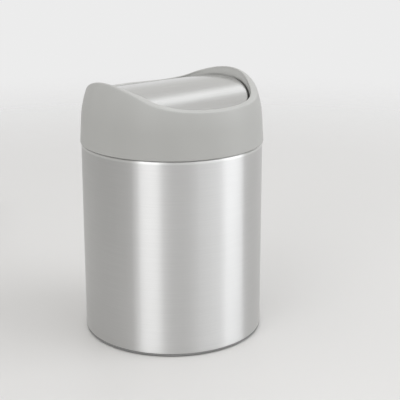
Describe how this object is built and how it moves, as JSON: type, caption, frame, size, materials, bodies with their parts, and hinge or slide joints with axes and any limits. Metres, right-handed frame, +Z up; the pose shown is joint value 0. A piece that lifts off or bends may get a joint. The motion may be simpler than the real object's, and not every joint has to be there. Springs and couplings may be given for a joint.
{
  "type": "countertop swing-lid waste bin",
  "caption": "Small round brushed-steel countertop bin with a lift-off plastic housing and a weighted steel flap that swings both ways.",
  "frame": {"origin": "centre of the base, on the surface that the bin stands on", "axes": "+Z up through the can's axis; X along the flap's swing axis, through the two ears of the housing"},
  "size_m": [0.1264, 0.1264, 0.1798],
  "materials": {
    "can_steel": "brushed round the can, satin",
    "base_steel": "plain cold-rolled sheet",
    "base_plastic": "fine matt texture",
    "pad_rubber": "matt",
    "housing_plastic": "satin moulded, warm light grey",
    "skirt_plastic": "satin moulded, warm light grey",
    "bush_plastic": "natural moulded",
    "flap_steel": "brushed along the pivots, satin",
    "carrier_plastic": "satin moulded",
    "pin_steel": "bright turned",
    "weight_steel": "zinc-plated bar",
    "screw_steel": "zinc-plated"
  },
  "bodies": {
    "can": {"body_shell": "can_steel", "base_disc": "base_steel", "base_ring": "base_plastic", "foot_pads": "pad_rubber"},
    "lid": {"lid_shell": "housing_plastic", "skirt_ring": "skirt_plastic", "pivot_bush_left": "bush_plastic", "pivot_bush_right": "bush_plastic"},
    "flap": {"flap_skin": "flap_steel", "flap_carrier": "carrier_plastic", "pivot_pin_left": "pin_steel", "pivot_pin_right": "pin_steel", "counterweight": "weight_steel", "weight_screws": "screw_steel"}
  },
  "joints": [
    {"name": "lid_lift", "type": "slide", "parent": "can", "child": "lid", "axis": [0, 0, 1], "range_m": [0, 0.08]},
    {"name": "flap_swing", "type": "hinge", "parent": "lid", "child": "flap", "pos_m": [0, 0, 0.154], "axis": [1, 0, 0], "range_deg": [-80, 80]}
  ]
}
